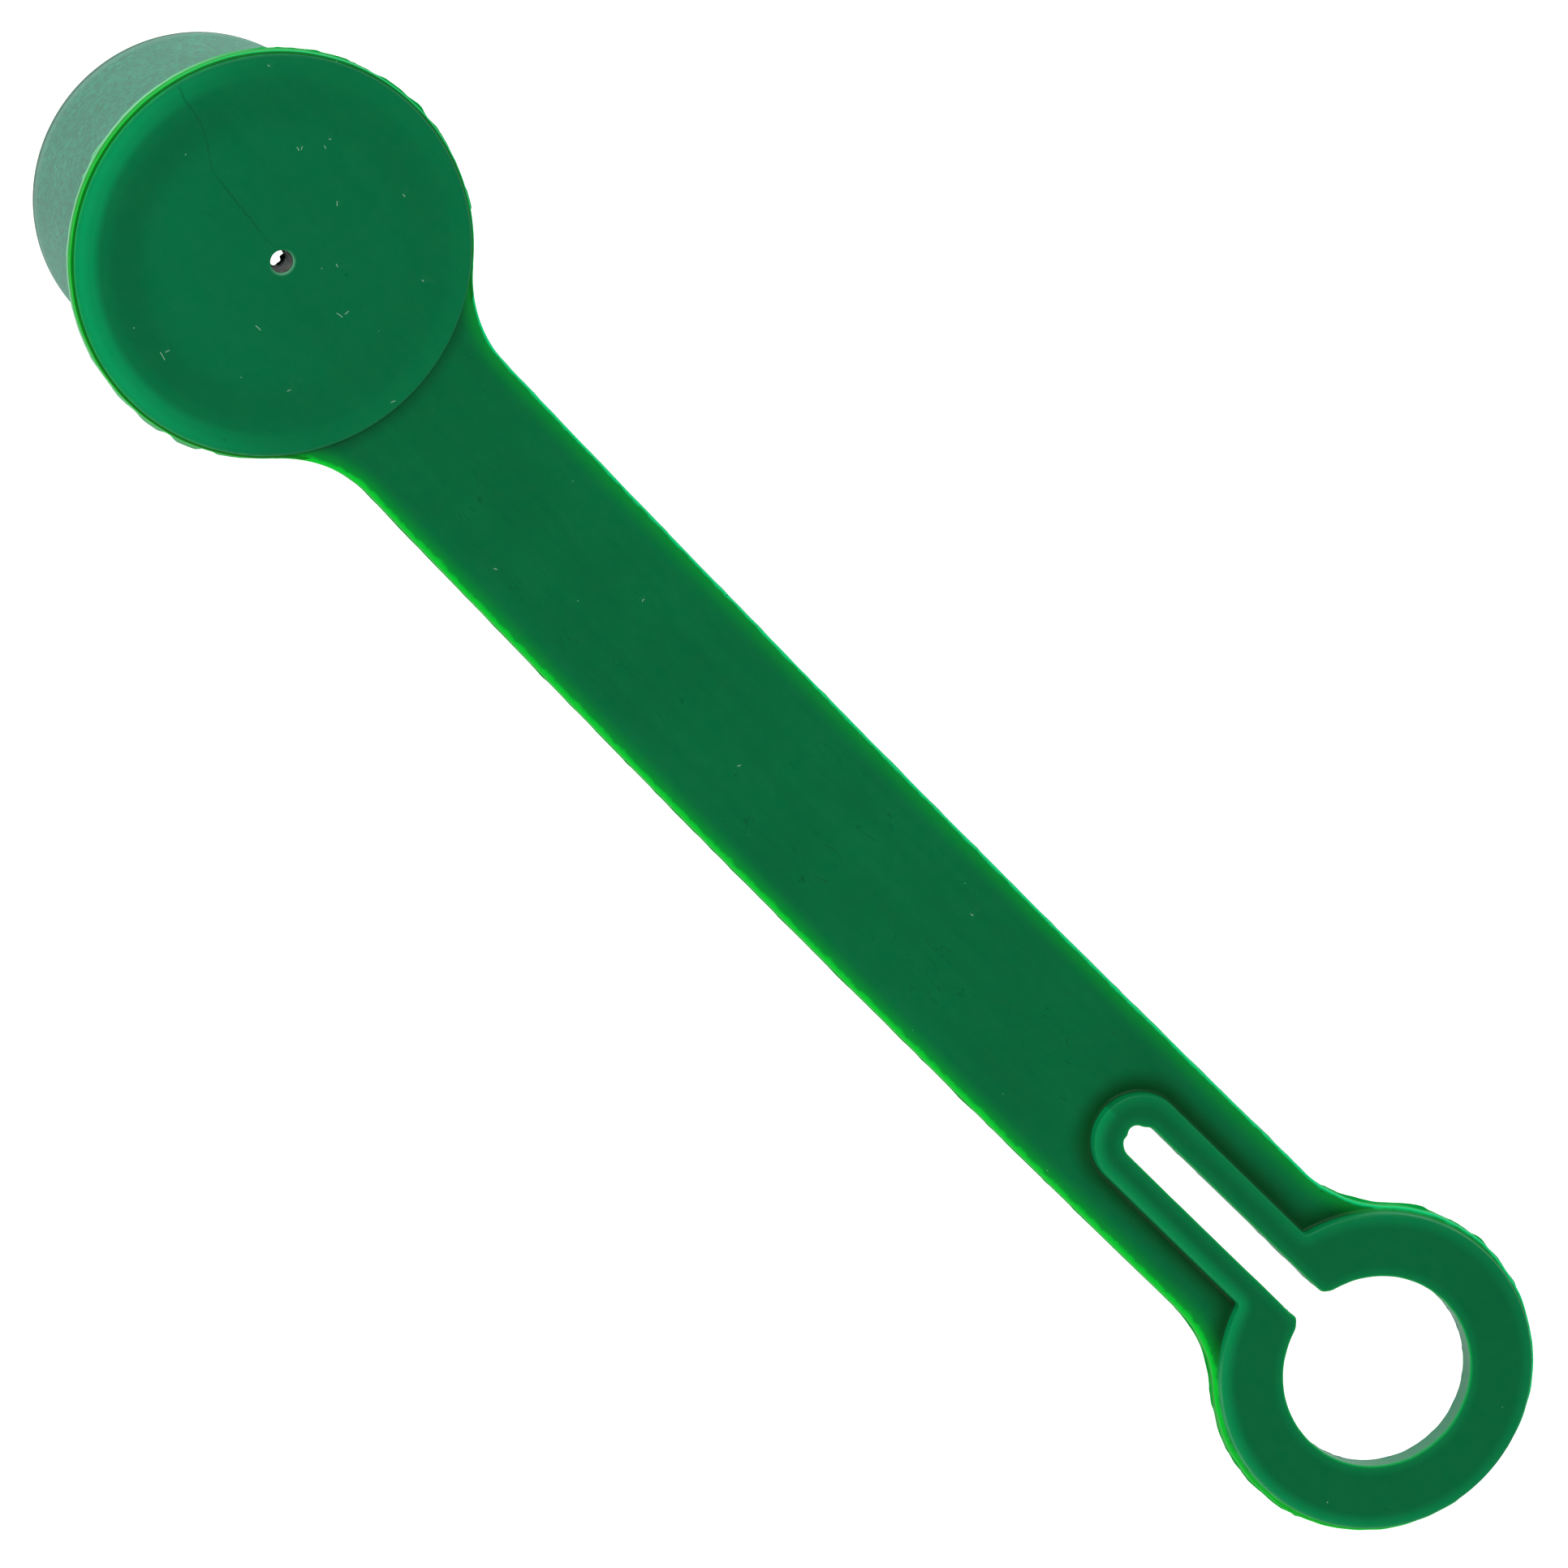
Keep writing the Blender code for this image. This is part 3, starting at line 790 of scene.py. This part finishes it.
    # Dark hairlines where the melt folded on its way along the strap.
    fold = t.noise(t.stretch(rest_v, (0.22, 0.75, 0.5)), 0.9, 2.0, 0.5, 1.2)
    fold = t.span(t.math("ABSOLUTE", t.math("SUBTRACT", fold, 0.5)), 0.012, 0.002, 0, 1, True)
    fold = t.math("MULTIPLY", fold, t.span(t.noise(rest_v, 0.20, 2.0), 0.54, 0.62, 0, 0.55, True))
    fold = t.math("MULTIPLY", fold, t.math("MULTIPLY", t.span(d_out, 1.8, 3.4), t.span(radial, 17.0, 24.0, 0.25, 1.0)))
    fold = t.math("MULTIPLY", fold, t.math("SUBTRACT", 1.0, in_ring))
    col = t.mix(t.math("MULTIPLY", fold, upper), col, srgb("004A28"))
    weld_f = t.math("MULTIPLY", t.attr("weld"), t.span(t.noise(rest_v, 0.6, 2.0), 0.35, 0.6, 0.15, 0.60))
    col = t.mix(weld_f, col, srgb("00482C"))
    # Specks moulded in or lying on the surface, and a few scratches.
    for seed, size, share, tint in ((0.50, 0.030, 0.72, "8CC8AC"), (0.33, 0.034, 0.66, "003A1C"), (1.10, 0.040, 0.80, "2E9C68")):
        vor = t.node("ShaderNodeTexVoronoi", feature="F1")
        t.link(t.stretch(rest_v, (1.0, 1.0, 0.0)), vor.inputs["Vector"])
        vor.inputs["Scale"].default_value = seed
        speck = t.math("LESS_THAN", vor.outputs["Distance"], size)
        sep = t.node("ShaderNodeSeparateColor")
        t.link(vor.outputs["Color"], sep.inputs[0])
        speck = t.math("MULTIPLY", speck, t.math("GREATER_THAN", sep.outputs[0], share))
        speck = t.math("MULTIPLY", speck, upper)
        col = t.mix(t.math("MULTIPLY", speck, 0.6), col, srgb(tint))
    col = t.mix(t.math("MULTIPLY", t.attr("mark"), 0.8), col, srgb("BFE0CC"))
    # Painted glint on the vent's chamfer, on its lower-right side.
    col = t.mix(t.math("MULTIPLY", t.attr("vent_glint"), 0.75), col, srgb("7CC8A0"))
    t.link(col, t.bsdf.inputs["Base Color"])
    # Satin skin with a faint texture, and shallow sinks.
    peel = t.noise(rest_v, 2.6, 3.0, 0.55)
    sink = t.noise(t.stretch(rest_v, (0.25, 0.7, 0.5)), 1.0, 2.0)
    nrm = t.bump(sink, 0.25, 0.00020)
    nrm = t.bump(peel, 0.35, 0.000020, nrm)
    t.link(nrm, t.bsdf.inputs["Normal"])
    t.link(t.span(t.noise(rest_v, 0.7, 4.0, 0.6), 0.3, 0.7, 0.36, 0.50), t.bsdf.inputs["Roughness"])
    t.bsdf.inputs["Specular IOR Level"].default_value = 0.11
    return t.mat


def wall_material():
    """Outer edges and flash: thin plastic painted bright green as if lit through, with painted glow low down and a
    painted highlight under the flange.
    """
    t = Tree("green_edge")
    rest_v = t.attr("rest", True)
    n = t.noise(t.stretch(rest_v, (1.0, 1.0, 2.5)), 0.8, 3.0, 0.6)
    col = t.mix(t.span(n, 0.35, 0.65), srgb("008E20"), srgb("00A82C"))
    # Painted light: a bluer green on edges turned away from the lit side.
    col = t.mix(t.span(t.attr("lit"), 0.2, -0.9, 0.0, 0.65), col, srgb("008E50"))
    # Painted glow low on the wall, where the flash is thin.
    low = t.span(t.attr("depth"), BOTTOM + 0.24, BOTTOM + 0.14, 0, 1, True)
    col = t.mix(t.math("MULTIPLY", low, 0.40), col, srgb("0CB84C"))
    # Painted highlight: a pale line low on the flange's wall, on one side.
    flange = t.span(t.attr("radial"), FLANGE_R + 1.2, FLANGE_R + 0.6, 0, 1)
    white = t.math("MULTIPLY", t.span(t.attr("depth"), BOTTOM + 0.60, BOTTOM + 0.36, 0, 1, True), flange)
    white = t.math("MULTIPLY", white, t.span(t.attr("turn"), -0.2, 0.7, 0.0, 0.65, True))
    col = t.mix(white, col, srgb("A0E0BC"))
    t.link(col, t.bsdf.inputs["Base Color"])
    t.link(t.span(n, 0.3, 0.7, 0.34, 0.48), t.bsdf.inputs["Roughness"])
    t.bsdf.inputs["Specular IOR Level"].default_value = 0.02
    return t.mat


def hole_material():
    """Walls of the keyhole: scuffed and greyer."""
    t = Tree("green_hole_wall")
    rest_v = t.attr("rest", True)
    n = t.noise(t.stretch(rest_v, (1.0, 1.0, 0.7)), 1.6, 4.0, 0.65)
    col = t.mix(t.span(n, 0.35, 0.65), srgb("10704A"), srgb("227A58"))
    # Painted highlight: lighter towards the wall's top edge.
    top_edge = t.span(t.attr("depth"), TOP + RIM_H - 0.7, TOP + RIM_H - 0.05, 0, 1, True)
    col = t.mix(t.math("MULTIPLY", top_edge, 0.6), col, srgb("009A50"))
    t.link(col, t.bsdf.inputs["Base Color"])
    t.link(t.bump(n, 0.4, 0.00006), t.bsdf.inputs["Normal"])
    t.link(t.span(n, 0.3, 0.7, 0.40, 0.55), t.bsdf.inputs["Roughness"])
    t.bsdf.inputs["Specular IOR Level"].default_value = 0.18
    return t.mat


def skirt_material():
    """The cap's side: spark-eroded mould texture, painted paler towards its ends as sheen, and darker at the mouth as
    shade.
    """
    t = Tree("green_grain")
    rest_v = t.attr("rest", True)
    grain = t.noise(rest_v, 1.9, 5.0, 0.74, 0.9)
    blot = t.noise(rest_v, 0.22, 3.0, 0.55)
    col = t.mix(t.span(grain, 0.40, 0.60), srgb("166850"), srgb("3E9A7E"))
    col = t.mix(t.math("MULTIPLY", t.span(blot, 0.3, 0.7), 0.40), col, srgb("1C6E50"))
    # Painted sheen: paler towards both ends.
    ends = t.math("MAXIMUM", t.span(t.attr("depth"), 3.2, 0.6, 0, 1, True), t.span(t.attr("depth"), 24.0, 29.6, 0, 1, True))
    col = t.mix(t.math("MULTIPLY", ends, 0.40), col, srgb("82ACA0"))
    # Painted shade: darker low down, at the mouth.
    low_rim = t.math("MULTIPLY", t.span(t.attr("depth"), 1.5, 0.8, 0, 1, True), 0.85)
    col = t.mix(low_rim, col, srgb("085A3A"))
    t.link(col, t.bsdf.inputs["Base Color"])
    t.link(t.bump(grain, 0.8, 0.00016), t.bsdf.inputs["Normal"])
    t.link(t.span(grain, 0.3, 0.7, 0.44, 0.66), t.bsdf.inputs["Roughness"])
    t.bsdf.inputs["Specular IOR Level"].default_value = 0.32
    return t.mat


def bore_material():
    """Inside of the cap: smooth from the core, with drag lines along it."""
    t = Tree("green_core")
    rest_v = t.attr("rest", True)
    n = t.noise(rest_v, 0.5, 3.0)
    col = t.mix(t.span(n, 0.3, 0.7), srgb("066A3E"), srgb("0B7E4A"))
    t.link(col, t.bsdf.inputs["Base Color"])
    drag = t.noise(t.stretch(rest_v, (3.0, 3.0, 0.12)), 1.0, 3.0)
    t.link(t.bump(drag, 0.4, 0.00004), t.bsdf.inputs["Normal"])
    t.link(t.span(n, 0.3, 0.7, 0.30, 0.42), t.bsdf.inputs["Roughness"])
    t.bsdf.inputs["Specular IOR Level"].default_value = 0.4
    return t.mat


def pin_material():
    """The vent's wall: painted dark as shade in the narrow hole, painted lighter near each end where light gets in,
    with crumbs of flash low down.
    """
    t = Tree("green_vent")
    rest_v = t.attr("rest", True)
    n = t.noise(rest_v, 1.7, 4.0, 0.65)
    col = t.mix(t.span(n, 0.35, 0.62), srgb("020A06"), srgb("0C1E14"))
    # Painted light: grey-brown near the top, where light gets in.
    near = t.span(t.attr("depth"), TOP - 1.2, TOP - 0.1, 0, 1, True)
    col = t.mix(t.math("MULTIPLY", near, 0.85), col, srgb("4C4A3C"))
    # Painted light: green again low down, by the crumbs of flash.
    low = t.span(t.attr("depth"), CEIL_Z + 0.5, CEIL_Z + 0.15, 0, 1, True)
    col = t.mix(t.math("MULTIPLY", low, 0.8), col, srgb("0A6A3C"))
    t.link(col, t.bsdf.inputs["Base Color"])
    t.link(t.span(n, 0.3, 0.7, 0.35, 0.6), t.bsdf.inputs["Roughness"])
    t.bsdf.inputs["Specular IOR Level"].default_value = 0.35
    return t.mat


looks = {FACE: face_material(), WALL: wall_material(), HOLE: hole_material(), SKIRT: skirt_material(),
         BORE: bore_material(), PIN: pin_material()}
for ob, used_kinds in zip(pieces, piece_kinds):
    for q in used_kinds:
        ob.data.materials.append(looks[q])

# ----------------------------------------------------------------- hide the CAD parts they replace
for k, ob in enumerate(pieces):
    z = (TOP + BOTTOM) / 2 * MM
    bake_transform(ob)
    if k == 0:
        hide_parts("cap")
    elif k < len(pieces) - 1:
        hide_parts("strap_%d" % k)
    else:
        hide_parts("strap_%d" % k, "keyhole_ring")

# ------------------------------------------------------------------------- stage
bm = bmesh.new()
R = 6.0
# The floor lies below the mouth, so that the strap can curl down past it.
grid = [[bm.verts.new((x * R, y * R, -0.060)) for x in (-1, -0.2, 0.2, 1)] for y in (-1, -0.2, 0.2, 1)]
for a in range(3):
    for b in range(3):
        bm.faces.new((grid[a][b], grid[a][b + 1], grid[a + 1][b + 1], grid[a + 1][b]))
fm = bpy.data.meshes.new("floor")
bm.to_mesh(fm)
bm.free()
floor = bpy.data.objects.new("floor", fm)
bpy.context.scene.collection.objects.link(floor)
t = Tree("pale_floor")
tc = t.node("ShaderNodeTexCoord")
n = t.noise(tc.outputs["Object"], 6.0, 2.0)
t.link(t.mix(t.span(n, 0.3, 0.7), (0.56, 0.56, 0.56), (0.58, 0.58, 0.578)), t.bsdf.inputs["Base Color"])
t.bsdf.inputs["Roughness"].default_value = 0.9
t.bsdf.inputs["Specular IOR Level"].default_value = 0.0
# The table is lit from underneath a little, as for a shadowless product shot.
t.bsdf.inputs["Emission Color"].default_value = (1.0, 1.0, 1.0, 1)
t.bsdf.inputs["Emission Strength"].default_value = 0.74
fm.materials.append(t.mat)

world = bpy.data.worlds.new("studio")
bpy.context.scene.world = world
world.use_nodes = True
wn_ = world.node_tree
bg = wn_.nodes["Background"]
bg.inputs[0].default_value = (0.97, 0.985, 1.0, 1)
# A light tent: bright walls, and a darker roof where the camera looks in.
tc = wn_.nodes.new("ShaderNodeTexCoord")
sx = wn_.nodes.new("ShaderNodeSeparateXYZ")
cr = wn_.nodes.new("ShaderNodeValToRGB")
wn_.links.new(tc.outputs["Generated"], sx.inputs[0])
wn_.links.new(sx.outputs["Z"], cr.inputs[0])
wn_.links.new(cr.outputs[0], bg.inputs[1])
ramp = cr.color_ramp
ramp.interpolation = "EASE"
while len(ramp.elements) < 4:
    ramp.elements.new(0.5)
for e, (pos, v) in zip(ramp.elements, [(0.0, 1.0), (0.45, 0.95), (0.82, 0.22), (0.93, 0.08)]):
    e.position = pos
    e.color = (v, v, v, 1)


def area(name, where, target, size, power, colour=(1, 1, 1)):
    li = bpy.data.lights.new(name, "AREA")
    li.shape = "RECTANGLE"
    li.size, li.size_y = size
    li.energy = power
    li.color = colour
    ob = bpy.data.objects.new(name, li)
    bpy.context.scene.collection.objects.link(ob)
    ob.location = where
    ob.rotation_mode = "QUATERNION"
    ob.rotation_quaternion = (Vector(target) - Vector(where)).to_track_quat("-Z", "Y")
    return ob


area("key", (-0.9, 0.75, 1.5), (0, 0, 0.02), (1.0, 1.0), 16)
area("fill", (0.9, -0.9, 1.2), (0, 0, 0.02), (1.2, 1.2), 8)

# ------------------------------------------------------------------------ camera
# A long lens from above the cap's side, leaning 18 degrees off its axis.
cam_data = bpy.data.cameras.new("camera")
cam = bpy.data.objects.new("camera", cam_data)
bpy.context.scene.collection.objects.link(cam)
cam_data.sensor_width = 36.0
cam_data.lens = 528.41
cam_data.clip_start, cam_data.clip_end = 0.1, 50.0
right = Vector((0.668364, 0.702258, 0.244682))
down = Vector((0.675937, -0.710830, 0.193828))
look = Vector((0.310045, 0.035841, -0.950032))
at = Vector((-558.306 + CAP_X, -72.994, 1915.686 + cap_hi[2])) * MM
m = Matrix((right, -down, -look)).transposed().to_4x4()
m.translation = at
cam.matrix_world = m
bpy.context.scene.camera = cam
bpy.context.scene.view_settings.view_transform = "Standard"
